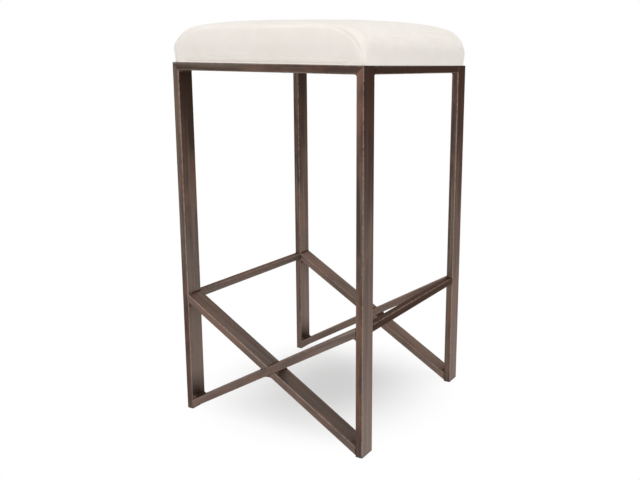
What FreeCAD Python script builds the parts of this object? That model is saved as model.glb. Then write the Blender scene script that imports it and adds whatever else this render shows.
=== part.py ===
import FreeCAD, Part
import math
import os

# Counter stool: a welded frame of flat steel tube with crossed braces, under an upholstered seat pad.
# Millimetres, +Z up, front towards -Y. The origin is on the floor under the middle of the stool.

# Frame
frame_width = 360.0         # outside of the left legs to outside of the right legs
frame_depth = 360.0         # front of the front legs to rear of the rear legs
frame_height = 600.0        # floor to the top of the rails
tube_thin = 12.7            # narrow side of the flat tube
tube_wide = 31.75           # broad side of the flat tube
tube_wall = 1.5
tube_corner = 2.0           # outside radius of the tube's long edges
brace_high = 210.0          # floor to the upper edge of a brace where it meets the leg it climbs to
stretcher_height = 12.7     # the stretcher is as thick as the legs and this tall

# Foot plugs
foot_flange = 2.0           # plug flange between the leg and the floor
foot_plug_depth = 16.0      # plug inside the leg
foot_plug_gap = 0.1         # clearance between plug and tube, each side

# Seat pad outline, measured from the outside of the frame and from the top of the rails
pad_rise = 72.0             # rails to the crown
pad_crown = 10.0            # crown above the tops of the shoulder arcs
pad_swell = 3.0             # sides stand this far past the frame at their fullest
pad_swell_height = 22.0     # height at which the sides are fullest
pad_draw_in = 2.0           # lower edge drawn in this far from the outside of the frame
pad_corner = 12.0           # plan radius of the pad's corners at the fullest height
pad_corner_spread = 0.35    # growth of that radius for each millimetre that the pad closes in above

# Seat layers
cover_thick = 1.2
wadding_thick = 6.0
board_thick = 12.0
board_gap = 0.3             # edge of the board to the cover round it
hem_lap = 12.0              # hem of the cover reaches this far past the inner edges of the rails
hem_corner = 10.0           # plan radius of the hem's window and of the dust cover
dust_cover_thick = 0.6
dust_cover_gap = 3.0        # dust cover to the inner edges of the rails

# Staples
staples_per_side = 5
staple_crown = 10.0
staple_leg = 7.0
staple_wire = 1.0

# Seat bolts
bolt_spacing = 180.0        # between the two bolts of a rail
bolt_diameter = 6.0
bolt_hole_gap = 0.6         # clearance hole over the bolt's diameter
bolt_head_diameter = 11.0
bolt_head_height = 3.6
bolt_end_gap = 1.0          # end of the bolt below the top of the board
hex_key = 4.0
hex_depth = 2.0
washer_diameter = 14.0
washer_thick = 1.2
access_hole_gap = 1.0       # hole in the lower wall of the rail over the washer's diameter
tee_nut_barrel = 8.0
tee_nut_length = 9.0        # barrel below the flange
tee_nut_flange = 19.0
tee_nut_flange_thick = 1.5
tee_nut_thread_gap = 0.2    # bore over the bolt's diameter

# Places that follow from the sizes above
V = FreeCAD.Vector
UP = V(0, 0, 1)
ORIGIN = V(0, 0, 0)
half_width = frame_width / 2
half_depth = frame_depth / 2
leg_x = half_width - tube_thin / 2
frame_y = half_depth - tube_wide / 2
rail_z = frame_height - tube_thin / 2
board_bottom = frame_height + cover_thick
board_top = board_bottom + board_thick
side_length = frame_depth - 2 * tube_wide
reach = 2 * (frame_width + frame_depth + frame_height)
SIDES = (("left", -1), ("right", 1))
ENDS = (("front", -1), ("rear", 1))


def save(name, shape):
    shape.exportStep("parts/%s.step" % name)
    print(name, len(shape.Solids), "solid(s)", round(shape.Volume), "mm3", shape.isValid())


def turned(shape, axis, degrees, place=ORIGIN):
    moved = shape.copy()
    moved.rotate(ORIGIN, axis, degrees)
    moved.translate(place)
    return moved


def rod(diameter, length, base, direction=UP):
    return Part.makeCylinder(diameter / 2, length, base, direction)


# Half of space beyond a plane, as a block that is larger than the stool
def beyond(point, normal):
    block = Part.makeBox(reach, reach, reach, V(-reach / 2, -reach / 2, 0))
    block.Placement = FreeCAD.Placement(point, FreeCAD.Rotation(UP, normal))
    return block


# Bar along X, centred on the origin, with its four long edges rounded
def bar(length, across_y, across_z, corner):
    block = Part.makeBox(length, across_y, across_z, V(-length / 2, -across_y / 2, -across_z / 2))
    long_edges = [e for e in block.Edges if abs(e.tangentAt(e.FirstParameter).x) > 0.5]
    return block.makeFillet(corner, long_edges)


# Welded tube along X: the bar with its bore
def tube(length, across_y, across_z):
    inner_corner = max(tube_corner - tube_wall, tube_wall / 3)
    bore = bar(length, across_y - 2 * tube_wall, across_z - 2 * tube_wall, inner_corner)
    return bar(length, across_y, across_z, tube_corner).cut(bore)


# Frame corners are mitred from the outer top edge down to the inner lower edge
def mitre_edge(side):
    return V(side * half_width, 0, frame_height)


# Legs stand on the foot plugs and end in the mitre
def leg(side, end):
    length = frame_height - foot_flange
    place = V(side * leg_x, end * frame_y, foot_flange + length / 2)
    upright = turned(tube(length, tube_wide, tube_thin), V(0, 1, 0), 90, place)
    return upright.cut(beyond(mitre_edge(side), V(-side, 0, 1)))


# Front and rear rails lie flat. The upper wall has clearance holes for the seat bolts, and the lower
# wall has wider holes through which the washers and heads go into the tube.
def cross_rail(end):
    rail = turned(tube(frame_width, tube_wide, tube_thin), UP, 0, V(0, end * frame_y, rail_z))
    for _, side in SIDES:
        rail = rail.cut(beyond(mitre_edge(side), V(side, 0, -1)))
        middle = V(side * bolt_spacing / 2, end * frame_y, rail_z)
        rail = rail.cut(rod(bolt_diameter + bolt_hole_gap, tube_thin, middle))
        rail = rail.cut(rod(washer_diameter + access_hole_gap, tube_thin, middle, UP * -1))
    return rail


# Side rails lie flat between the front and rear rails, flush with the outside of the legs
def side_rail(side):
    place = V(side * (half_width - tube_wide / 2), 0, rail_z)
    return turned(tube(side_length, tube_wide, tube_thin), UP, 90, place)


# Stretchers run from front leg to rear leg, level with the upper ends of the braces
def stretcher(side):
    place = V(side * leg_x, 0, brace_high - stretcher_height / 2)
    return turned(tube(side_length, tube_thin, stretcher_height), UP, 90, place)


# Braces of the front frame: the lower edge starts at the foot of one leg, and the upper edge
# ends at brace_high on the other. The long brace climbs to the right and the halves butt on it.
def front_braces():
    run = frame_width - 2 * tube_thin
    climb = brace_high - foot_flange
    slope = math.acos(tube_thin / math.hypot(run, climb)) - math.atan2(run, climb)
    middle = V(0, -frame_y, foot_flange + climb / 2)
    blank = tube(2 * run, tube_wide, tube_thin)
    long_brace = turned(blank, V(0, 1, 0), -math.degrees(slope), middle)
    short_brace = turned(blank, V(0, 1, 0), math.degrees(slope), middle)
    for _, side in SIDES:
        leg_face = beyond(V(side * (half_width - tube_thin), 0, 0), V(side, 0, 0))
        long_brace = long_brace.cut(leg_face)
        short_brace = short_brace.cut(leg_face)
    across = V(-math.sin(slope), 0, math.cos(slope))
    upper = short_brace.cut(beyond(middle + across * (tube_thin / 2), across * -1))
    lower = short_brace.cut(beyond(middle - across * (tube_thin / 2), across))
    return {"brace_long": long_brace, "brace_upper": upper, "brace_lower": lower}


# Moulded plug pushed into the open end of a leg, with a flange that takes the wear
def foot_plug(side, end):
    foot = V(side * leg_x, end * frame_y, 0)
    inner_thin = tube_thin - 2 * (tube_wall + foot_plug_gap)
    inner_wide = tube_wide - 2 * (tube_wall + foot_plug_gap)
    flange_middle = UP * (foot_flange / 2)
    flange = turned(bar(foot_flange, tube_wide, tube_thin, tube_corner), V(0, 1, 0), 90, flange_middle)
    stem_middle = UP * (foot_flange + foot_plug_depth / 2)
    stem = turned(bar(foot_plug_depth, inner_wide, inner_thin, tube_wall), V(0, 1, 0), 90, stem_middle)
    plug = flange.fuse(stem)
    plug.translate(foot)
    return plug


# Rounded rectangle of four lines and four corner arcs
def rounded_outline(half_x, half_y, corner, height):
    bend = corner * (1 - math.sqrt(0.5))
    x, y = half_x - corner, half_y - corner
    edges = []
    for sx, sy in ((1, 1), (-1, 1), (-1, -1), (1, -1)):
        along_y = V(sx * half_x, sy * y, height)
        along_x = V(sx * x, sy * half_y, height)
        middle = V(sx * (half_x - bend), sy * (half_y - bend), height)
        first, last = (along_y, along_x) if sx == sy else (along_x, along_y)
        edges.append(Part.Arc(first, middle, last).toShape())
    sides = []
    for here, following in zip(edges, edges[1:] + edges[:1]):
        sides.append(here)
        start = here.Vertexes[-1].Point
        sides.append(Part.LineSegment(start, following.Vertexes[0].Point).toShape())
    return Part.Wire(sides)


# Rounded plate with its lower face at the given height
def plate(half_x, half_y, corner, base, thick):
    return Part.Face(rounded_outline(half_x, half_y, corner, base)).extrude(UP * thick)


# Section of the seat pad, set in by a skin and starting level at a base above the rails. A side arc
# swells from the drawn-in lower edge, a shoulder arc turns over it, and a wide crown arc closes the
# top. Every arc is tangent to the next. Each station is an inset from the frame and a height.
def pad_stations(skin, base):
    half = min(half_width, half_depth)
    swell_run = pad_draw_in + pad_swell
    side_radius = (swell_run ** 2 + pad_swell_height ** 2) / (2 * swell_run)
    shoulder_rise = pad_rise - pad_swell_height
    shoulder_radius = shoulder_rise - pad_crown
    crown_run = half + pad_swell - shoulder_radius
    crown_radius = (crown_run ** 2 + shoulder_rise ** 2 - shoulder_radius ** 2) / (2 * pad_crown)
    crown_angle = math.asin(crown_run / (crown_radius - shoulder_radius))
    base_angle = -math.asin((pad_swell_height - base) / (side_radius - skin))
    shoulder_angle = math.pi / 2 - crown_angle
    stations = []
    for share in (1.0, 0.7, 0.35, 0.0):
        angle = base_angle * share
        inset = side_radius - pad_swell - (side_radius - skin) * math.cos(angle)
        stations.append((inset, pad_swell_height + (side_radius - skin) * math.sin(angle)))
    for share in (0.2, 0.4, 0.6, 0.8, 1.0):
        angle = shoulder_angle * share
        inset = shoulder_radius - pad_swell - (shoulder_radius - skin) * math.cos(angle)
        stations.append((inset, pad_swell_height + (shoulder_radius - skin) * math.sin(angle)))
    for share in (0.8, 0.6, 0.4, 0.2, 0.05):
        angle = crown_angle * share
        inset = half - (crown_radius - skin) * math.sin(angle)
        stations.append((inset, pad_rise - crown_radius + (crown_radius - skin) * math.cos(angle)))
    return stations


# Plan radius of the pad's corners, rounder towards the crown
def pad_corner_radius(skin, inset):
    half = min(half_width, half_depth)
    corner = pad_corner - skin + pad_corner_spread * max(inset + pad_swell - skin, 0)
    return min(corner, 0.9 * (half - inset))


# Seat pad as a closed form
def pad_form(skin, base):
    outlines = []
    for inset, height in pad_stations(skin, base):
        corner = pad_corner_radius(skin, inset)
        outlines.append(
            rounded_outline(half_width - inset, half_depth - inset, corner, frame_height + height)
        )
    return Part.makeLoft(outlines, True, True)


# Plywood board, bored for the tee nuts
def seat_board():
    inset = pad_stations(cover_thick, cover_thick)[0][0] + board_gap
    corner = pad_corner_radius(cover_thick, inset)
    board = plate(half_width - inset, half_depth - inset, corner, board_bottom, board_thick)
    for point in bolt_points():
        board = board.cut(rod(tee_nut_barrel, 3 * board_thick, point + UP * (board_bottom - board_thick)))
    return board


# Foam block on the board, hollowed over the flanges of the tee nuts
def seat_foam():
    foam = pad_form(cover_thick + wadding_thick, 0.0)
    foam = foam.cut(beyond(UP * board_top, UP * -1))
    for point in bolt_points():
        flange_base = point + UP * (board_top - tee_nut_flange_thick)
        foam = foam.cut(rod(tee_nut_flange, 2 * tee_nut_flange_thick, flange_base))
    return foam


# Wadding wraps the top and sides of the foam, down to the board
def seat_wadding():
    wadding = pad_form(cover_thick, cover_thick).cut(pad_form(cover_thick + wadding_thick, 0.0))
    return wadding.cut(beyond(UP * board_top, UP * -1))


# Fabric cover with its hem turned under the board and open in the middle
def seat_cover():
    cover = pad_form(0.0, 0.0).cut(pad_form(cover_thick, cover_thick))
    window_x = half_width - tube_wide - hem_lap
    window_y = half_depth - tube_wide - hem_lap
    cover = cover.cut(plate(window_x, window_y, hem_corner, frame_height - cover_thick, 3 * cover_thick))
    for point in bolt_points():
        hole_base = point + UP * (frame_height - cover_thick)
        cover = cover.cut(rod(bolt_diameter + bolt_hole_gap, 3 * cover_thick, hole_base))
    return cover


# Dust cover under the hem, inside the rails
def dust_cover():
    edge = tube_wide + dust_cover_gap
    base = frame_height - dust_cover_thick
    return plate(half_width - edge, half_depth - edge, hem_corner, base, dust_cover_thick)


# Staples through the dust cover and the hem into the board, in a row along each side
def seat_staples():
    inset = tube_wide + (hem_lap + dust_cover_gap) / 2
    base = frame_height - dust_cover_thick - staple_wire
    crown = Part.makeBox(staple_crown, staple_wire, staple_wire, V(-staple_crown / 2, -staple_wire / 2, base))
    staple = crown
    for along in (-staple_crown / 2, staple_crown / 2 - staple_wire):
        corner = V(along, -staple_wire / 2, base)
        staple = staple.fuse(Part.makeBox(staple_wire, staple_wire, staple_leg + staple_wire, corner))
    staple = staple.removeSplitter()
    staples = []
    for number in range(staples_per_side):
        share = (number + 0.5) / staples_per_side - 0.5
        for sign in (-1, 1):
            row_y = V(2 * share * (half_width - inset), sign * (half_depth - inset), 0)
            row_x = V(sign * (half_width - inset), 2 * share * (half_depth - inset), 0)
            staples.append(turned(staple, UP, 0, row_y))
            staples.append(turned(staple, UP, 90, row_x))
    return Part.makeCompound(staples)


def bolt_points():
    return [V(side * bolt_spacing / 2, end * frame_y, 0) for _, side in SIDES for _, end in ENDS]


# Socket head bolts, with the head inside the rail and under its washer
def seat_bolts():
    head_top = frame_height - tube_wall - washer_thick
    bolts = []
    for point in bolt_points():
        head = rod(bolt_head_diameter, bolt_head_height, point + UP * (head_top - bolt_head_height))
        shank = rod(bolt_diameter, board_top - bolt_end_gap - head_top, point + UP * head_top)
        corners = []
        for step in range(7):
            angle = math.radians(60 * step)
            spoke = V(math.cos(angle), math.sin(angle), 0) * (hex_key / math.sqrt(3))
            corners.append(point + spoke + UP * (head_top - bolt_head_height))
        socket = Part.Face(Part.makePolygon(corners)).extrude(UP * hex_depth)
        bolts.append(head.fuse(shank).cut(socket))
    return Part.makeCompound(bolts)


def bolt_washers():
    washers = []
    for point in bolt_points():
        base = point + UP * (frame_height - tube_wall - washer_thick)
        hole = rod(bolt_diameter + bolt_hole_gap, washer_thick, base)
        washers.append(rod(washer_diameter, washer_thick, base).cut(hole))
    return Part.makeCompound(washers)


# Tee nuts: flange on top of the board, threaded barrel down inside it
def tee_nuts():
    nuts = []
    for point in bolt_points():
        flange = rod(tee_nut_flange, tee_nut_flange_thick, point + UP * board_top)
        barrel = rod(tee_nut_barrel, tee_nut_length, point + UP * (board_top - tee_nut_length))
        bore_length = tee_nut_length + tee_nut_flange_thick
        bore = rod(bolt_diameter + tee_nut_thread_gap, bore_length, point + UP * (board_top - tee_nut_length))
        nuts.append(flange.fuse(barrel).cut(bore))
    return Part.makeCompound(nuts)


os.makedirs("parts", exist_ok=True)

for side_name, side in SIDES:
    for end_name, end in ENDS:
        save("%s_%s_leg" % (end_name, side_name), leg(side, end))
        save("%s_%s_foot_plug" % (end_name, side_name), foot_plug(side, end))
    save("%s_top_rail" % side_name, side_rail(side))
    save("%s_stretcher" % side_name, stretcher(side))

for end_name, end in ENDS:
    save("%s_top_rail" % end_name, cross_rail(end))

# The rear frame is the front frame turned round
for brace_name, brace in front_braces().items():
    save("front_" + brace_name, brace)
    save("rear_" + brace_name, turned(brace, UP, 180))

staples = seat_staples()
save("seat_board", seat_board().cut(staples))
save("seat_foam", seat_foam())
save("seat_wadding", seat_wadding())
save("seat_cover", seat_cover().cut(staples))
save("dust_cover", dust_cover().cut(staples))
save("seat_staples", staples)
save("seat_bolts", seat_bolts())
save("bolt_washers", bolt_washers())
save("seat_tee_nuts", tee_nuts())
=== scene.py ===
import math

import bmesh
import bpy
from mathutils import Matrix, Vector, noise


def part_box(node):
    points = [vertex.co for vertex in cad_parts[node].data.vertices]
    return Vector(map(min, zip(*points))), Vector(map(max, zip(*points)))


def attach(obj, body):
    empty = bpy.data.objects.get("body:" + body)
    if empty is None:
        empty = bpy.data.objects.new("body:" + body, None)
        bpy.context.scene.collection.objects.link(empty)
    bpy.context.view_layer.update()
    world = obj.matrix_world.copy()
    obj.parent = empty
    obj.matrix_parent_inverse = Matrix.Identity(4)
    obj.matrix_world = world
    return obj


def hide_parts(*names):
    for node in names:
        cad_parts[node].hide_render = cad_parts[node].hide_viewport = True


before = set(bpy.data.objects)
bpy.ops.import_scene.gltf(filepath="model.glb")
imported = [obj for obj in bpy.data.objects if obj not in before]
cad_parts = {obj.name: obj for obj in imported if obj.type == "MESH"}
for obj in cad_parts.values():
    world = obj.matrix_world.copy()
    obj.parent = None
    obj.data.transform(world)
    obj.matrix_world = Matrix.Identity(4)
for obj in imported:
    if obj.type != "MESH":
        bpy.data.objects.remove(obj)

bpy.context.view_layer.update()


# Tube frame: flat steel tube, sawn, welded and ground, then painted a satin bronze.
# The paint is wiped along each tube by hand, so it is streaked lengthwise and browner in
# patches. Painted shade darkens the left and right faces near the seat and the inner faces
# near the feet, painted light pales the left and right faces toward the floor, and the edges
# are rubbed coppery, partly real wear and partly a painted highlight.
class Finish:
    """One socket of a finish. Sums on it add Math nodes; node() adds any other node."""

    def __init__(self, tree, socket=None):
        self.tree = tree
        self.socket = socket

    def node(self, kind, settings=None, sockets=None, out=0):
        """Adds a node, sets its settings, then its sockets to values or links, and gives one output."""
        made = self.tree.nodes.new(kind)
        for name, value in (settings or {}).items():
            setattr(made, name, value)
        for name, value in (sockets or {}).items():
            if isinstance(value, Finish):
                self.tree.links.new(value.socket, made.inputs[name])
            else:
                made.inputs[name].default_value = value
        return Finish(self.tree, made.outputs[out] if made.outputs else None)

    def maths(self, operation, *values):
        return self.node("ShaderNodeMath", {"operation": operation}, dict(enumerate(values)))

    def __add__(self, other):
        return self.maths("ADD", self, other)

    def __radd__(self, other):
        return self.maths("ADD", other, self)

    def __sub__(self, other):
        return self.maths("SUBTRACT", self, other)

    def __rsub__(self, other):
        return self.maths("SUBTRACT", other, self)

    def __mul__(self, other):
        return self.maths("MULTIPLY", self, other)

    def __rmul__(self, other):
        return self.maths("MULTIPLY", other, self)

    def __truediv__(self, other):
        return self.maths("DIVIDE", self, other)

    def __rtruediv__(self, other):
        return self.maths("DIVIDE", other, self)

    def __abs__(self):
        return self.maths("ABSOLUTE", self)

    def sine(self):
        return self.maths("SINE", self)

    def greater(self, other):
        return self.maths("MAXIMUM", self, other)

    def ease(self, start, end):
        """0 at start, 1 at end, eased between them."""
        return self.node(
            "ShaderNodeMapRange",
            {"interpolation_type": "SMOOTHSTEP"},
            {"Value": self, "From Min": start, "From Max": end},
        )

    def tint(self, first, second):
        """The first colour where this is 0, the second where it is 1."""
        factor, first_colour, second_colour, result = 0, 6, 7, 2
        sockets = {factor: self, first_colour: first, second_colour: second}
        return self.node("ShaderNodeMix", {"data_type": "RGBA"}, sockets, out=result)

    def grain(self, scale, detail=3.0, rough=0.55):
        """Cloudy noise over these coordinates, with lumps of about 1/scale."""
        sockets = {"Vector": self, "Scale": scale, "Detail": detail, "Roughness": rough}
        return self.node("ShaderNodeTexNoise", None, sockets)

    def laid(self, turn, size=(1.0, 1.0, 1.0)):
        """These coordinates turned to a piece's own axes, with size along them for a unit."""
        sockets = {"Vector": self, "Rotation": turn, "Scale": size}
        return self.node("ShaderNodeMapping", {"vector_type": "TEXTURE"}, sockets)

    def parts(self):
        """The three numbers of a vector."""
        split = self.node("ShaderNodeSeparateXYZ", None, {"Vector": self})
        return [Finish(self.tree, socket) for socket in split.socket.node.outputs]

    def bump(self, height):
        """Normal of a surface with this relief, height metres deep."""
        return self.node("ShaderNodeBump", None, {"Height": self, "Distance": height})


def new_finish(name):
    """An empty material, and the place on the piece in metres."""
    material = bpy.data.materials.new(name)
    material.use_nodes = True
    material.node_tree.nodes.clear()
    place = Finish(material.node_tree).node("ShaderNodeTexCoord", out="Object")
    return material, place


def seal(material, **sockets):
    """Closes a finish with one shader; words in a socket's name are joined by an underscore."""
    tree = Finish(material.node_tree)
    named = {name.replace("_", " "): value for name, value in sockets.items()}
    shader = tree.node("ShaderNodeBsdfPrincipled", None, named)
    tree.node("ShaderNodeOutputMaterial", None, {"Surface": shader})
    return material


def dress(names, material):
    """Gives CAD nodes their finish."""
    for name in names:
        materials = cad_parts[name].data.materials
        materials.clear()
        materials.append(material)


X, Y, Z = 0, 1, 2
umber = (0.066, 0.043, 0.036, 1)
rust_brown = (0.162, 0.088, 0.062, 1)
olive_grey = (0.160, 0.133, 0.107, 1)
copper_wear_and_highlight = (0.300, 0.232, 0.200, 1)
shade_brown = (0.028, 0.016, 0.012, 1)
light_pale = (0.265, 0.214, 0.187, 1)
bronze_sheen = (0.62, 0.44, 0.37, 1)
metal_share = 0.7
sheen_level = 0.2
streak_length = 0.22
streak_width = 0.007
olive_streaks = (0.44, 0.72)
patch_stretch = 3.0
patches_per_metre = 26.0
brown_patches = (0.38, 0.66)
dabs_per_metre = 140.0
# Edge rub: partly real wear of the paint and partly a painted highlight along the edges.
rub_highlight_width = 0.0026
rub_highlight_fade = 0.0011
rub_highlight_strength = 0.52
# Painted shade: where and how strongly the left and right faces darken toward the seat.
shade_low = 0.33
shade_high = 0.62
shade_strength = 0.80
# Painted light: where and how strongly the left and right faces pale toward the floor.
light_height = 0.50
light_strength = 0.42
# Painted shade: how the inner faces darken toward the feet.
contact_shade_low = 0.012
contact_shade_high = 0.075
contact_shade_strength = 0.65
pores_per_metre = 2600.0
paint_relief = 0.00012


def bronze(name, turn, wide, thin, least_shade=0.0, least_light=0.0):
    """Bronze paint on tubes that lie along turn, with the (centre, half size) of their section.

    Painted shade darkens the sides that face left and right near the seat, and painted light
    pales them toward the floor; neither is ever under its least. Painted shade also darkens
    the inner faces near the feet.
    """
    material, place = new_finish(name)
    wide_place, thin_place = place.laid(turn).parts()[1:]
    wide_depth = wide[1] - abs(abs(wide_place) - wide[0])
    thin_depth = thin[1] - abs(abs(thin_place) - thin[0])
    edge = wide_depth.greater(thin_depth)
    streaks = place.laid(turn, (streak_length, streak_width, streak_width)).grain(1.0, detail=4.0, rough=0.6)
    patches = place.laid(turn, (patch_stretch, 1.0, 1.0)).grain(patches_per_metre, rough=0.6)
    dabs = place.grain(dabs_per_metre, detail=4.0, rough=0.65)
    # Pale coppery edges: partly rubbed paint and partly a painted highlight.
    rub_and_highlight = (rub_highlight_width * (dabs * 1.5 + streaks * 0.7 - 0.45) - edge) / rub_highlight_fade
    rub_and_highlight = rub_and_highlight.ease(0.0, 1.0)
    facing = place.node("ShaderNodeNewGeometry", out="Normal").parts()[X]
    spot = place.parts()
    broad_side = abs(facing).ease(0.3, 0.9)
    inner_side = (spot[X] * facing).ease(-0.02, -0.12)
    # Painted shade: the left and right faces darken toward the seat, never less than the least.
    painted_shade = (spot[Z].ease(shade_low, shade_high) * broad_side).greater(least_shade)
    # Painted light: the left and right faces pale toward the floor, never less than the least.
    painted_light = (spot[Z].ease(light_height, 0.0) * broad_side * (1 - least_shade)).greater(least_light)
    # Painted shade: the inner faces darken toward the feet, where the parts shade each other.
    contact_shade = spot[Z].ease(contact_shade_high, contact_shade_low) * inner_side
    colour = patches.ease(*brown_patches).tint(umber, rust_brown)
    colour = streaks.ease(*olive_streaks).tint(colour, olive_grey)
    colour = (painted_light * (light_strength + streaks * 0.6)).tint(colour, light_pale)
    colour = (painted_shade * (shade_strength + patches * (1 - shade_strength))).tint(colour, shade_brown)
    colour = (contact_shade * (contact_shade_strength + patches * (1 - contact_shade_strength))).tint(colour, shade_brown)
    colour = (rub_and_highlight * rub_highlight_strength).tint(colour, copper_wear_and_highlight)
    pores = place.grain(pores_per_metre, detail=2.0)
    return seal(
        material,
        Base_Color=colour,
        Metallic=metal_share,
        Specular_IOR_Level=sheen_level,
        Specular_Tint=bronze_sheen,
        Roughness=0.40 + streaks * 0.16 - rub_and_highlight * 0.10,
        Normal=(streaks * 0.6 + pores * 0.4).bump(paint_relief),
    )


def section(node, axis):
    """How far from the middle a tube lies along an axis, and its half size there."""
    low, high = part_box(node)
    return abs(low[axis] + high[axis]) / 2, (high[axis] - low[axis]) / 2


right_angle = math.pi / 2
upright = (0, -right_angle, 0)
crosswise = (0, 0, 0)
lengthwise = (0, 0, right_angle)
sides = ("left", "right")
ends = ("front", "rear")
leg_low, leg_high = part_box("front_right_leg")
brace_low, brace_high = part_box("front_brace_long")
tube_thin = leg_high.x - leg_low.x
tube_wide = leg_high.y - leg_low.y
brace_run = brace_high.x - brace_low.x
brace_rise = brace_high.z - brace_low.z
slope = math.atan2(brace_rise, brace_run) - math.asin(tube_thin / math.hypot(brace_run, brace_rise))
crossing = (brace_low + brace_high) / 2
brace_wide = section("front_brace_long", Y)
brace_thin = (crossing.z * math.cos(slope), tube_thin / 2)
# Painted shade: the cross rails under the seat are never lighter than this share.
rail_shade = 0.2
# Painted light: the braces are made a paler copy all over.
brace_light = 0.40
# Painted shade: the right stretcher is a much darker copy than the left.
stretcher_shade = {"left": 0.10, "right": 0.85}

dress(
    [f"{end}_{side}_leg" for end in ends for side in sides],
    bronze("bronze_legs", upright, section("front_right_leg", Y), section("front_right_leg", X)),
)
dress(
    [f"{end}_top_rail" for end in ends],
    bronze(
        "bronze_cross_rails", crosswise,
        section("front_top_rail", Y), section("front_top_rail", Z), least_shade=rail_shade,
    ),
)
dress(
    [f"{side}_top_rail" for side in sides],
    bronze("bronze_side_rails", lengthwise, section("right_top_rail", X), section("right_top_rail", Z)),
)
for side in sides:
    stretcher = f"{side}_stretcher"
    dress(
        [stretcher],
        bronze(
            f"bronze_{stretcher}", lengthwise,
            section(stretcher, X), section(stretcher, Z), least_shade=stretcher_shade[side],
        ),
    )
dress(
    ["front_brace_long", "rear_brace_upper", "rear_brace_lower"],
    bronze("bronze_rising_braces", (0, -slope, 0), brace_wide, brace_thin, least_light=brace_light),
)
dress(
    ["rear_brace_long", "front_brace_upper", "front_brace_lower"],
    bronze("bronze_falling_braces", (0, slope, 0), brace_wide, brace_thin, least_light=brace_light),
)


# Welds: small beads of steel run into the inside corners of the frame, ground to a hollow
# curve and painted with it. The bead under each crossing is the fattest.
corner_bead = 0.0035
brace_bead = 0.004
crossing_bead = 0.020
wide_clear = 0.0035
thin_clear = 0.0030
bead_length = tube_wide - wide_clear
short_bead = tube_thin - thin_clear
bead_steps = 6


def weld(beads, corner, first, second, radius, length):
    """A bead in the corner between two walls, given by the ways they run from it."""
    first = first.normalized()
    second = second.normalized()
    angle = first.angle(second)
    axis = first.cross(second).normalized()
    reach = radius / math.tan(angle / 2)
    middle = corner + (first + second).normalized() * radius / math.sin(angle / 2)
    back = axis * length / 2
    start = beads.verts.new(corner + first * reach - back)
    turn = bmesh.ops.spin(
        beads, geom=[start], cent=middle, axis=axis, angle=angle - math.pi, steps=bead_steps
    )
    root = beads.verts.new(corner - back)
    arc = {start}
    grown = {start}
    while grown:
        grown = {edge.other_vert(vert) for vert in grown for edge in vert.link_edges} - arc
        arc |= grown
    beads.edges.new((root, start))
    beads.edges.new((root, turn["geom_last"][0]))
    rim = {edge for vert in arc | {root} for edge in vert.link_edges}
    face = bmesh.ops.contextual_create(beads, geom=list(rim))["faces"]
    grown = bmesh.ops.extrude_face_region(beads, geom=face, use_keep_orig=True)["geom"]
    far_end = [item for item in grown if isinstance(item, bmesh.types.BMVert)]
    bmesh.ops.translate(beads, verts=far_end, vec=axis * length)


def place_mesh(name, made, material=None, smooth=True):
    """A finished piece from a bmesh, with its faces outwards and its finish on."""
    bmesh.ops.recalc_face_normals(made, faces=made.faces)
    mesh = bpy.data.meshes.new(name)
    made.to_mesh(mesh)
    made.free()
    if material:
        mesh.materials.append(material)
    for face in mesh.polygons:
        face.use_smooth = smooth
    piece = bpy.data.objects.new(name, mesh)
    bpy.context.scene.collection.objects.link(piece)
    return piece


beads = bmesh.new()
up = Vector((0, 0, 1))
down = -up
inner_x = leg_low.x
inner_y = -leg_high.y
rail_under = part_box("front_top_rail")[0].z
stretcher_low, stretcher_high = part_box("right_stretcher")
stretcher_x = (stretcher_low.x + stretcher_high.x) / 2
brace_over = up * (crossing.z + tube_thin / 2 / math.cos(slope))
brace_under = up * (crossing.z - tube_thin / 2 / math.cos(slope))
brace_beside = tube_thin / 2 / math.sin(slope)
climb = up * inner_x * math.tan(slope)
rising = Vector((math.cos(slope), 0, math.sin(slope)))
falling = Vector((math.cos(slope), 0, -math.sin(slope)))
for end_sign in (-1, 1):
    row = Vector((0, -crossing.y * end_sign, 0))
    inward = Vector((0, -end_sign, 0))
    weld(beads, row + brace_under, -rising, falling, crossing_bead, bead_length)
    weld(beads, row + brace_over, rising, -falling, corner_bead, bead_length)
    for side_sign in (-1, 1):
        outward = Vector((side_sign, 0, 0))
        out_up = Vector((side_sign * math.cos(slope), 0, math.sin(slope)))
        out_down = Vector((side_sign * math.cos(slope), 0, -math.sin(slope)))
        notch = row + up * crossing.z + outward * brace_beside
        wall = row + outward * inner_x
        joint = Vector((side_sign * stretcher_x, end_sign * inner_y, 0))
        weld(beads, notch, out_up, out_down, corner_bead, bead_length)
        weld(beads, wall + up * rail_under, -outward, down, corner_bead, bead_length)
        weld(beads, wall + brace_over + climb, up, -out_up, brace_bead, bead_length)
        weld(beads, wall + brace_under + climb, down, -out_up, brace_bead, bead_length)
        weld(beads, wall + brace_over - climb, up, -out_down, brace_bead, bead_length)
        weld(beads, joint + up * stretcher_high.z, inward, up, corner_bead, short_bead)
        weld(beads, joint + up * stretcher_low.z, inward, down, corner_bead, short_bead)
        weld(beads, joint + up * rail_under, inward, down, corner_bead, short_bead)

lumps_per_metre = 220.0
bead_patches_per_metre = 40.0
bead_relief = 0.0004
material, place = new_finish("bronze_welds")
lumps = place.grain(lumps_per_metre)
patches = place.grain(bead_patches_per_metre)
bead_facing = place.node("ShaderNodeNewGeometry", out="Normal").parts()[Y]
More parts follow.
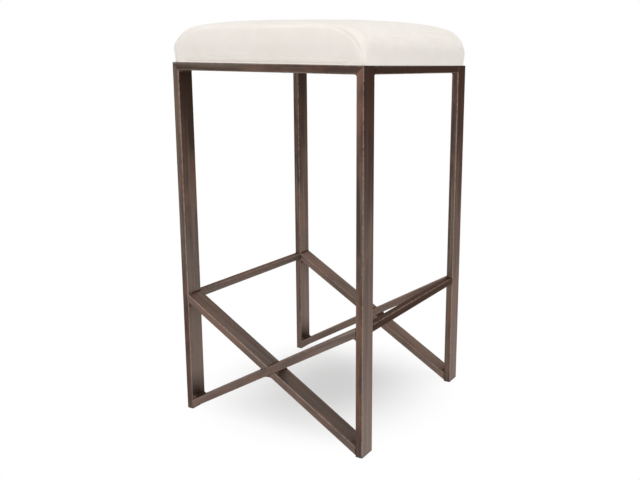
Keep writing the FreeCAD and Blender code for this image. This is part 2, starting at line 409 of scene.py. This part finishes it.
# Painted shade: the hollow face of each bead is darkened, as shade in the inside corners.
bead_painted_shade = abs(bead_facing).ease(0.8, 0.3)
bead_colour = patches.ease(0.35, 0.68).tint(umber, rust_brown)
bead_colour = (lumps.ease(0.55, 0.75) * 0.2).tint(bead_colour, copper_wear_and_highlight)
bead_colour = (bead_painted_shade * (0.45 + patches * 0.4)).tint(bead_colour, shade_brown)
seal(
    material,
    Base_Color=bead_colour,
    Metallic=metal_share,
    Specular_IOR_Level=sheen_level,
    Specular_Tint=bronze_sheen,
    Roughness=0.44 + lumps * 0.14,
    Normal=lumps.bump(bead_relief),
)
welds = place_mesh("frame_welds", beads, material)
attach(welds, "root")


# Foot plugs: dark brown plastic, moulded with a fine spark texture and pushed into the open
# leg ends. The flange that stands on the floor is scuffed paler.
plug_brown = (0.030, 0.024, 0.021, 1)
scuff_grey = (0.110, 0.100, 0.092, 1)
scuff_height = 0.0012
scratch_turn = (0, 0, 0.6)
scratch_size = (0.02, 0.0007, 0.004)
sparks_per_metre = 2200.0
spark_relief = 0.00016

material, place = new_finish("moulded_plug")
spark = place.grain(sparks_per_metre, detail=2.0)
scratches = place.laid(scratch_turn, scratch_size).grain(1.0, detail=4.0)
scuff = (1 - place.parts()[Z].ease(0.0, scuff_height)) * scratches.ease(0.42, 0.66)
seal(
    material,
    Base_Color=(scuff * 0.8).tint(plug_brown, scuff_grey),
    Roughness=0.46 + spark * 0.12 + scuff * 0.2,
    Normal=spark.bump(spark_relief),
)
dress([f"{end}_{side}_foot_plug" for end in ends for side in sides], material)


# Seat board: birch plywood, its plies running in turn along and across, sawn square and
# bored for the nuts. Only its underside and its edge are bare wood.
birch_pale = (0.62, 0.45, 0.29, 1)
birch_dark = (0.40, 0.26, 0.15, 1)
glue_brown = (0.16, 0.095, 0.055, 1)
board_low, board_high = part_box("seat_board")
ply_count = 5
ply = (board_high.z - board_low.z) / ply_count
grain_length = 0.16
grain_width = 0.003
wood_relief = 0.0003

material, place = new_finish("birch_plywood")
height = (place.parts()[Z] - board_low.z) / ply
layer = height.maths("FLOOR", height)
turned_ply = layer.maths("PINGPONG", layer, 1.0)
glue_line = abs(height - height.maths("ROUND", height)).ease(0.10, 0.03)
along = place.laid(crosswise, (grain_length, grain_width, grain_width)).grain(1.0, detail=5.0, rough=0.6)
across = place.laid(crosswise, (grain_width, grain_length, grain_width)).grain(1.0, detail=5.0, rough=0.6)
wood = along * (1 - turned_ply) + across * turned_ply
wood_colour = wood.ease(0.30, 0.72).tint(birch_pale, birch_dark)
seal(
    material,
    Base_Color=glue_line.tint(wood_colour, glue_brown),
    Roughness=0.62 + wood * 0.2,
    Normal=wood.bump(wood_relief),
)
dress(["seat_board"], material)


# Fasteners: cap bolts through the rails, washers, and tee nuts and staples in the board.
# All are steel wire and bar with bright zinc plating, cloudy and slightly straw coloured.
zinc_bright = (0.58, 0.58, 0.56, 1)
zinc_cloud = (0.36, 0.36, 0.35, 1)
zinc_straw = (0.52, 0.47, 0.36, 1)
clouds_per_metre = 420.0
straws_per_metre = 160.0
plate_relief = 0.00008

material, place = new_finish("zinc_plate")
cloud = place.grain(clouds_per_metre, detail=4.0)
straw = place.grain(straws_per_metre)
plate_colour = cloud.ease(0.35, 0.70).tint(zinc_bright, zinc_cloud)
plate_colour = (straw.ease(0.50, 0.70) * 0.55).tint(plate_colour, zinc_straw)
seal(
    material,
    Base_Color=plate_colour,
    Metallic=0.95,
    Roughness=0.28 + cloud * 0.22,
    Normal=cloud.bump(plate_relief),
)
dress(["seat_bolts", "bolt_washers", "seat_tee_nuts", "seat_staples"], material)


# Seat pad: a foam block and wadding in a sewn cream cover. The top panel runs over the left
# and right shoulders; the front and rear panels are set in with an arched seam. The cover is
# pulled down over the board, and its hem turned under and stapled.
seat_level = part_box("seat_cover")[0].z
half_seat = leg_high.x
block_rise = 0.0590
block_inset = 0.0008
block_half = half_seat - block_inset
side_full = 0.0020
sunk = 0.012
shoulder = 0.040
shoulder_steps = 10
front_round = 0.013
front_steps = 5
voxel = 0.0045
near_enough = 0.001
hair = 1e-6

block = bmesh.new()
block_size = Vector((2 * (block_half + side_full), 2 * block_half, block_rise + sunk))
block_place = Matrix.Translation((0, 0, seat_level + (block_rise - sunk) / 2))
bmesh.ops.create_cube(block, size=1.0, matrix=block_place @ Matrix.Diagonal(block_size).to_4x4())
top_sides = [
    edge for edge in block.edges
    if all(vert.co.z > seat_level + near_enough for vert in edge.verts)
    and abs(edge.verts[0].co.x - edge.verts[1].co.x) < near_enough
]
bmesh.ops.bevel(
    block, geom=top_sides, offset=shoulder, affect="EDGES", segments=shoulder_steps, profile=0.5, material=-1
)
arches = [
    edge for edge in block.edges
    if abs(edge.verts[0].co.y - edge.verts[1].co.y) < near_enough
    and any(vert.co.z > seat_level for vert in edge.verts)
    and all(abs(vert.co.y) > block_half - near_enough for vert in edge.verts)
]
bmesh.ops.bevel(
    block, geom=arches, offset=front_round, affect="EDGES", segments=front_steps, profile=0.5, material=-1
)
pad = place_mesh("seat_pad", block)


def settle(piece):
    """Makes what a piece's modifiers show its own mesh."""
    bpy.context.view_layer.update()
    shown = piece.evaluated_get(bpy.context.evaluated_depsgraph_get())
    mesh = bpy.data.meshes.new_from_object(shown)
    piece.modifiers.clear()
    piece.data = mesh


remesh = pad.modifiers.new("even_mesh", "REMESH")
remesh.mode = "VOXEL"
remesh.voxel_size = voxel
settle(pad)


def eased(value, start, end):
    """0 before start, 1 after end, eased between them."""
    share = min(max((value - start) / (end - start), 0.0), 1.0)
    return share * share * (3 - 2 * share)


crown = 0.0084
crown_flat = 0.7
crown_from = 0.2 * block_rise
lean = 0.0030
lean_middle = 0.5
lean_sides = (0.5 * half_seat, 0.92 * half_seat)
swell = 0.0026
swell_rise = 0.046
side_swell = 0.25
swell_from = 0.6 * half_seat
swell_full = 0.95 * half_seat
smooth_rounds = 4
for vert in pad.data.vertices:
    point = vert.co
    height = point.z - seat_level
    bow = max(1 - abs(point.x / half_seat) ** 3, 0) * max(1 - (point.y / half_seat) ** 2, 0)
    near_side = eased(abs(point.x), *lean_sides)
    rise = crown * bow ** crown_flat + lean * point.y / half_seat * (lean_middle + near_side)
    point.z += rise * eased(height, crown_from, block_rise)
    fullness = swell * math.sin(math.pi * min(max(height / swell_rise, 0.0), 1.0))
    side_move = side_swell * fullness * eased(abs(point.x), swell_from, swell_full)
    end_move = fullness * eased(abs(point.y), swell_from, swell_full)
    point.x += math.copysign(side_move, point.x)
    point.y += math.copysign(end_move, point.y)
for number in range(smooth_rounds):
    work = bmesh.new()
    work.from_mesh(pad.data)
    upper = [vert for vert in work.verts if vert.co.z > seat_level]
    bmesh.ops.smooth_vert(
        work, verts=upper, factor=0.5, use_axis_x=True, use_axis_y=True, use_axis_z=True
    )
    work.to_mesh(pad.data)
    work.free()

arch_half = half_seat
arch_rise = 0.0555
arch_flat = 6.5
arch_drop = 1.63
seam_reach = 0.021
seam_panel = 0.55 * seam_reach
least_rise = 0.0002


def hump(value, width):
    """1 at 0, falling away to 0 past a few widths."""
    return math.exp(-((value / width) ** 2))


def seam_gap(point):
    """Distance outside the seam's arch, and 1 near the front and rear panels, 0 elsewhere."""
    across = abs(point.x) / arch_half
    above = max(point.z - seat_level, least_rise) / arch_rise
    level = across ** arch_flat + above ** arch_drop - 1
    steep_x = arch_flat * across ** (arch_flat - 1) / arch_half
    steep_z = arch_drop * above ** (arch_drop - 1) / arch_rise
    near = eased(abs(point.y), half_seat - seam_reach, half_seat - seam_panel)
    return level / max(math.hypot(steep_x, steep_z), 1.0), near


def along_seam(point):
    """How far round the arch a point lies, from the middle of the seat."""
    return point.x + math.copysign(arch_rise - (point.z - seat_level), point.x)


seam_grip = 0.0035
hem_grip = (seat_level + 0.002, seat_level + 0.008)
least_grip = 0.01
held = pad.vertex_groups.new(name="held")
for vert in pad.data.vertices:
    gap, near = seam_gap(vert.co)
    grip = max(near * hump(gap, seam_grip), 1 - eased(vert.co.z, *hem_grip))
    if grip > least_grip:
        held.add([vert.index], grip, "REPLACE")

blow_frames = 20
puff_limit = 0.0045
least_move = 1e-7
before = [vert.co.copy() for vert in pad.data.vertices]
cloth = pad.modifiers.new("cover", "CLOTH")
cloth.settings.quality = 5
cloth.settings.mass = 0.3
cloth.settings.tension_stiffness = 18
cloth.settings.compression_stiffness = 10
cloth.settings.shear_stiffness = 6
cloth.settings.bending_stiffness = 1.2
cloth.settings.use_pressure = True
cloth.settings.uniform_pressure_force = 4.0
cloth.settings.effector_weights.gravity = 0
cloth.settings.vertex_group_mass = "held"
cloth.point_cache.frame_start = 1
cloth.point_cache.frame_end = blow_frames
for number in range(1, blow_frames + 1):
    bpy.context.scene.frame_set(number)
settle(pad)
for vert, start in zip(pad.data.vertices, before):
    move = vert.co - start
    if move.length > least_move:
        vert.co = start + move.normalized() * puff_limit * math.tanh(move.length / puff_limit)
bpy.context.scene.frame_set(1)

finer = pad.modifiers.new("finer", "SUBSURF")
finer.levels = 1
finer.render_levels = 1
settle(pad)

seam_fine = 0.006
pad_mesh = bmesh.new()
pad_mesh.from_mesh(pad.data)
bpy.data.objects.remove(pad)
bmesh.ops.bisect_plane(
    pad_mesh, geom=pad_mesh.verts[:] + pad_mesh.edges[:] + pad_mesh.faces[:], dist=hair,
    plane_co=(0, 0, seat_level), plane_no=(0, 0, -1), clear_outer=True,
)
seam_edges = []
for edge in pad_mesh.edges:
    gap, near = seam_gap((edge.verts[0].co + edge.verts[1].co) / 2)
    if near > 0 and abs(gap) < seam_fine:
        seam_edges.append(edge)
bmesh.ops.subdivide_edges(pad_mesh, edges=seam_edges, cuts=1, use_grid_fill=True)

seam_dip = 0.0008
seam_width = 0.0018
seam_slack = 0.45
seam_taut = (0.3 * half_seat, 0.8 * half_seat)
lip = 0.0001
lip_place = 0.0034
lip_width = 0.0022
pucker = 0.00045
pucker_start = 0.0025
pucker_reach = 0.008
puckers_per_metre = 75
fold = 0.0006
fold_pitch = 0.011
fold_wander = 5
fold_near = (0.002, 0.006)
fold_far = (0.010, 0.022)
fold_runs = (-0.1, 0.25)
folds_per_metre = 9
ripple = 0.0005
ripple_rise = (0.004, 0.016)
ripples_per_metre = 16
draw_in = 0.0044
draw_rise = (0.003, 0.030)
draw_sides = (0.75 * half_seat, 0.98 * half_seat)
side_share = 0.1
roll_height = 0.0030
rim_height = 1e-5
tug_share = 0.35
tugs_per_metre = 55
pad_mesh.normal_update()
moves = []
for vert in pad_mesh.verts:
    point = vert.co
    gap, near = seam_gap(point)
    height = point.z - seat_level
    round_it = along_seam(point)
    end = math.copysign(1.0, point.y)
    taut = seam_slack + (1 - seam_slack) * eased(abs(point.x), *seam_taut)
    lift = near * taut * (lip * hump(gap - lip_place, lip_width) - seam_dip * hump(gap, seam_width))
    gathers = noise.noise(Vector((round_it * puckers_per_metre, end * 3.1, 0.0)))
    gathered = math.exp(-abs(gap) / pucker_reach) * eased(abs(gap), 0.0, pucker_start)
    lift += near * pucker * gathers * gathered
    run = noise.noise(Vector((round_it * folds_per_metre, end * 7.7, 2.0)))
    wave = math.sin(gap * 2 * math.pi / fold_pitch + fold_wander * run)
    folded = eased(gap, *fold_near) * (1 - eased(gap, *fold_far)) * eased(run, *fold_runs)
    lift += fold * wave * folded * near
    lift += ripple * noise.noise(point * ripples_per_metre) * eased(height, *ripple_rise)
    tug = noise.noise(Vector((point.x * tugs_per_metre, point.y * tugs_per_metre, 5.0)))
    low = 1 - eased(height, *draw_rise)
    middle = 1 - eased(abs(point.x), *draw_sides)
    pull = draw_in * (side_share + (1 - side_share) * middle * abs(vert.normal.y)) * (1 + tug_share * tug)
    lift -= pull * low * eased(height, 0.0, roll_height)
    moves.append((vert, vert.normal * lift))
for vert, move in moves:
    if vert.co.z > seat_level + rim_height:
        vert.co += move

hem_thick = 0.0012
hem_lap = 0.012
hem_window = half_seat - tube_wide - hem_lap
hem_corner = 0.010
corner_steps = 5
board_room = 0.0003
nut_room = 0.0017
rim = [edge for edge in pad_mesh.edges if edge.is_boundary]
window = bmesh.ops.create_grid(
    pad_mesh, x_segments=1, y_segments=1, size=hem_window, matrix=Matrix.Translation((0, 0, seat_level))
)
bmesh.ops.bevel(
    pad_mesh, geom=window["verts"], offset=hem_corner,
    affect="VERTICES", segments=corner_steps, profile=0.5, material=-1,
)
window_face = [
    face for face in pad_mesh.faces
    if all(
        abs(vert.co.z - seat_level) < hair
        and max(abs(vert.co.x), abs(vert.co.y)) < hem_window + near_enough
        for vert in face.verts
    )
]
window_rim = list({edge for face in window_face for edge in face.edges})
bmesh.ops.delete(pad_mesh, geom=window_face, context="FACES_ONLY")
bmesh.ops.bridge_loops(pad_mesh, edges=rim + window_rim)
board_half = board_high.x + board_room
ring = window_rim
for rise, spread in (
    (hem_thick, 1.0),
    (0.0, board_half / hem_window),
    (board_high.z + nut_room - board_low.z, 1.0),
):
    grown = bmesh.ops.extrude_edge_only(pad_mesh, edges=ring)["geom"]
    ring = [item for item in grown if isinstance(item, bmesh.types.BMEdge)]
    moved = [item for item in grown if isinstance(item, bmesh.types.BMVert)]
    bmesh.ops.scale(pad_mesh, verts=moved, vec=(spread, spread, 1.0))
    bmesh.ops.translate(pad_mesh, verts=moved, vec=(0, 0, rise))
bmesh.ops.contextual_create(pad_mesh, geom=ring)

cream = (0.808, 0.766, 0.712, 1)
cream_shade = (0.762, 0.715, 0.658, 1)
thread = 0.0011
slub_size = (0.03, 0.0022, 0.0022)
soft_per_metre = 22.0
fibres_per_metre = 1500.0
nap_relief = 0.00022
material, place = new_finish("cream_fabric")
facing = place.node("ShaderNodeNewGeometry", out="Normal")
threads = [(part * (2 * math.pi / thread)).sine() for part in place.parts()]
shares = [part * part for part in facing.parts()]
weave = (
    shares[X] * threads[Y] * threads[Z]
    + shares[Y] * threads[X] * threads[Z]
    + shares[Z] * threads[X] * threads[Y]
)
slubs = place.laid(crosswise, slub_size).grain(1.0)
soft = place.grain(soft_per_metre)
fibre = place.grain(fibres_per_metre, detail=2.0)
shade = soft.ease(0.25, 0.80) * 0.65 + slubs.ease(0.35, 0.75) * 0.10 + (weave * 0.5 + 0.5) * 0.25
seal(
    material,
    Base_Color=shade.tint(cream, cream_shade),
    Roughness=0.86 + weave * 0.05,
    Sheen_Weight=0.18,
    Sheen_Roughness=0.5,
    Normal=(weave * 0.5 + slubs * 0.2 + fibre * 0.4).bump(nap_relief),
)
cushion = place_mesh("seat_cushion", pad_mesh, material)
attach(cushion, "root")
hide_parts("seat_cover", "seat_wadding", "seat_foam")


# Dust cover: black spun cloth cut square with round corners, laid over the hem and stapled
# to the board inside the rails. It hangs a little in the middle and is slightly rumpled.
cloth_low, cloth_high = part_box("dust_cover")
cloth_half = cloth_high.x
cloth_thick = cloth_high.z - cloth_low.z
cloth_steps = 84
staple_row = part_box("seat_staples")[1].x
sag = 0.0035
sag_flat = 0.7
rumple = 0.0006
rumples_per_metre = 22

spread = bmesh.new()
bmesh.ops.create_grid(
    spread, x_segments=1, y_segments=1, size=cloth_half, matrix=Matrix.Translation((0, 0, cloth_low.z))
)
bmesh.ops.bevel(
    spread, geom=spread.verts[:], offset=hem_corner,
    affect="VERTICES", segments=corner_steps, profile=0.5, material=-1,
)
for axis in (X, Y):
    across_it = Vector((0, 0, 0))
    across_it[axis] = 1.0
    for number in range(1, cloth_steps):
        start = across_it * cloth_half * (2 * number / cloth_steps - 1)
        bmesh.ops.bisect_plane(
            spread, geom=spread.verts[:] + spread.edges[:] + spread.faces[:], dist=hair,
            plane_co=start, plane_no=across_it,
        )
for vert in spread.verts:
    x_share = min(abs(vert.co.x) / staple_row, 1.0)
    y_share = min(abs(vert.co.y) / staple_row, 1.0)
    hang = (1 - x_share ** 2) * (1 - y_share ** 2)
    wrinkle = noise.noise(Vector((vert.co.x * rumples_per_metre, vert.co.y * rumples_per_metre, 1.0)))
    vert.co.z -= sag * hang ** sag_flat + rumple * wrinkle * min(hang * 4, 1.0)
bmesh.ops.solidify(spread, geom=spread.faces[:], thickness=-cloth_thick)

spun_black = (0.020, 0.020, 0.022, 1)
spun_grey = (0.052, 0.052, 0.056, 1)
bond_pitch = 0.0018
spun_per_metre = 900.0
lint_per_metre = 55.0
spun_relief = 0.00025
material, place = new_finish("spun_cloth")
dots = [(part * (2 * math.pi / bond_pitch)).sine() for part in place.parts()]
bond = (dots[X] * dots[Y]).ease(0.1, 0.8)
fibres = place.grain(spun_per_metre, detail=4.0, rough=0.7)
lint = place.grain(lint_per_metre)
seal(
    material,
    Base_Color=(fibres.ease(0.35, 0.75) * 0.7 + lint.ease(0.45, 0.75) * 0.3).tint(spun_black, spun_grey),
    Roughness=0.82 - bond * 0.18,
    Normal=(fibres * 0.5 - bond * 0.6).bump(spun_relief),
)
dust_sheet = place_mesh("dust_sheet", spread, material)
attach(dust_sheet, "root")
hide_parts("dust_cover")


# Floor and backdrop: a pale seamless floor that keeps the stool's soft shadow and goes to
# white around it, under a white studio.
floor_half = 4.0
floor_steps = 8
floor_pale = (0.90, 0.90, 0.90, 1)
white = (1.0, 1.0, 1.0, 1)
shadow_place = (-0.015, 0.02, 0.0)
shadow_core = 0.02
shadow_reach = 0.265
floor_glow = 0.05
dome_light = 0.74


def looked_at(tree):
    """1 for what the camera sees straight, in a reflection or through a piece, 0 for other light."""
    seen = tree.node("ShaderNodeLightPath", out="Is Camera Ray")
    mirrored = tree.node("ShaderNodeLightPath", out="Is Glossy Ray")
    through = tree.node("ShaderNodeLightPath", out="Is Transmission Ray")
    return seen.greater(mirrored).greater(through)


floor_mesh = bmesh.new()
bmesh.ops.create_grid(floor_mesh, x_segments=floor_steps, y_segments=floor_steps, size=floor_half)
material, place = new_finish("studio_floor")
tree = Finish(material.node_tree)
away = place.node("ShaderNodeVectorMath", {"operation": "DISTANCE"}, {0: place, 1: shadow_place}, out="Value")
past_shadow = away.ease(shadow_core, shadow_reach)
matt = tree.node("ShaderNodeBsdfDiffuse", None, {"Color": floor_pale})
glow = tree.node("ShaderNodeEmission", None, {"Color": white, "Strength": floor_glow})
lit = tree.node("ShaderNodeAddShader", None, {0: matt, 1: glow})
paper = tree.node("ShaderNodeEmission", None, {"Color": white, "Strength": 1.0})
shown = tree.node("ShaderNodeMixShader", None, {0: looked_at(tree) * past_shadow, 1: lit, 2: paper})
tree.node("ShaderNodeOutputMaterial", None, {"Surface": shown})
floor = place_mesh("studio_floor", floor_mesh, material, smooth=False)

world = bpy.data.worlds.new("white_studio")
world.use_nodes = True
world.node_tree.nodes.clear()
tree = Finish(world.node_tree)
sky = tree.node("ShaderNodeBackground", None, {"Color": white, "Strength": dome_light})
paper = tree.node("ShaderNodeBackground", None, {"Color": white, "Strength": 1.0})
shown = tree.node("ShaderNodeMixShader", None, {0: looked_at(tree), 1: sky, 2: paper})
tree.node("ShaderNodeOutputWorld", None, {"Surface": shown})
bpy.context.scene.world = world


# Lamps: a wide softbox overhead, which lays the shadow under the seat, and two lower ones on
# the right and in front, which lift the faces that the overhead one leaves dull.
aim = Vector((0, 0, 0.35))


def softbox(name, place, size, power):
    """A square soft lamp that faces the stool."""
    lamp = bpy.data.lights.new(name, "AREA")
    lamp.size = size
    lamp.energy = power
    box = bpy.data.objects.new(name, lamp)
    box.location = place
    box.rotation_euler = (aim - Vector(place)).to_track_quat("-Z", "Y").to_euler()
    bpy.context.scene.collection.objects.link(box)


softbox("overhead_softbox", place=(-0.10, -0.15, 2.30), size=1.2, power=10.2)
softbox("right_softbox", place=(1.9, -0.9, 1.0), size=1.4, power=11.0)
softbox("front_softbox", place=(-0.5, -2.2, 1.0), size=1.6, power=8.2)


# Camera: eye just above the rails, turned to the near right corner, with a lens shift that
# sets the stool left of the axis.
image_width = 640
image_middle = (320, 240)
focal_pixels = 755.5
axis_across = 399.7
axis_down = 214.0
camera_turn = math.radians(27.92)
camera_pitch = math.radians(11.55)
camera_roll = math.radians(0.83)
camera_place = (0.7300, -1.1046, 0.6090)
film_width = 36.0

view = bpy.data.cameras.new("photo_view")
view.sensor_fit = "HORIZONTAL"
view.sensor_width = film_width
view.lens = focal_pixels / image_width * film_width
view.shift_x = (image_middle[0] - axis_across) / image_width
view.shift_y = (axis_down - image_middle[1]) / image_width
camera = bpy.data.objects.new("photo_view", view)
camera.matrix_world = (
    Matrix.Translation(camera_place)
    @ Matrix.Rotation(camera_turn, 4, "Z")
    @ Matrix.Rotation(right_angle - camera_pitch, 4, "X")
    @ Matrix.Rotation(camera_roll, 4, "Z")
)
bpy.context.scene.collection.objects.link(camera)
bpy.context.scene.camera = camera
bpy.context.scene.view_settings.view_transform = "Standard"
